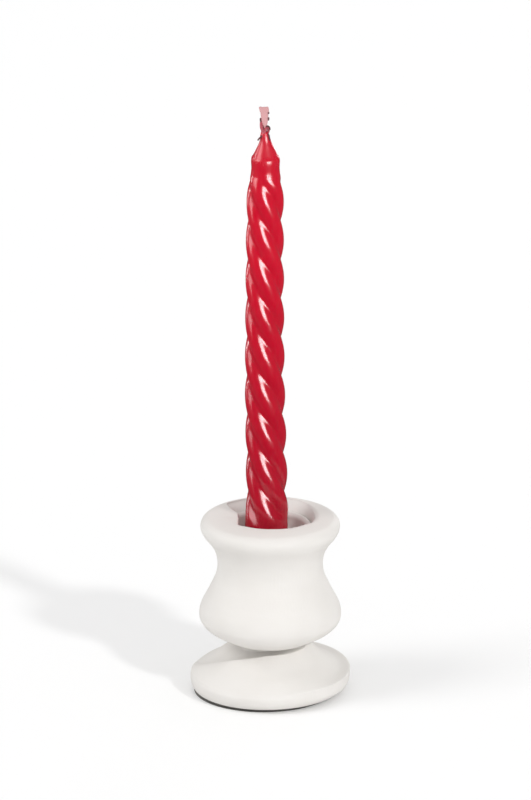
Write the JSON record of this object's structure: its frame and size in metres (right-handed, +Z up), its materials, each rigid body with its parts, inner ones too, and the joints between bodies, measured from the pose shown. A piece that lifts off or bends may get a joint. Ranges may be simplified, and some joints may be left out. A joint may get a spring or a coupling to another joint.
{
  "type": "candlestick",
  "caption": "Low swirled wooden candlestick, painted matte white, with a carved spiral lip and base, a metal candle cup and a tall red twisted candle that lifts out.",
  "frame": {"origin": "centre of the base's round outline, on the table under the felt", "axes": "+Z up along the turned body and the candle, -Y towards the front, where the base's ridge tucks under the belly"},
  "size_m": [0.0907, 0.0908, 0.3478],
  "materials": {
    "white_wood": "matte white paint over close-grained wood",
    "dowel_wood": "bare beech",
    "felt": "pressed dark felt",
    "cup_metal": "white enamelled steel",
    "screw_steel": "zinc plated",
    "wax": "glossy dipped wax",
    "wick": "wax-soaked braided cotton"
  },
  "bodies": {
    "holder": {"vase_body": "white_wood", "swirl_base": "white_wood", "felt_pad": "felt", "neck_screw": "screw_steel", "neck_dowels": "dowel_wood", "candle_cup": "cup_metal", "cup_screw": "screw_steel"},
    "candle_body": {"candle": "wax", "wick": "wick"}
  },
  "joints": [
    {"name": "candle_lift", "type": "slide", "parent": "holder", "child": "candle_body", "axis": [0, 0, 1], "range_m": [0, 0.05]}
  ]
}
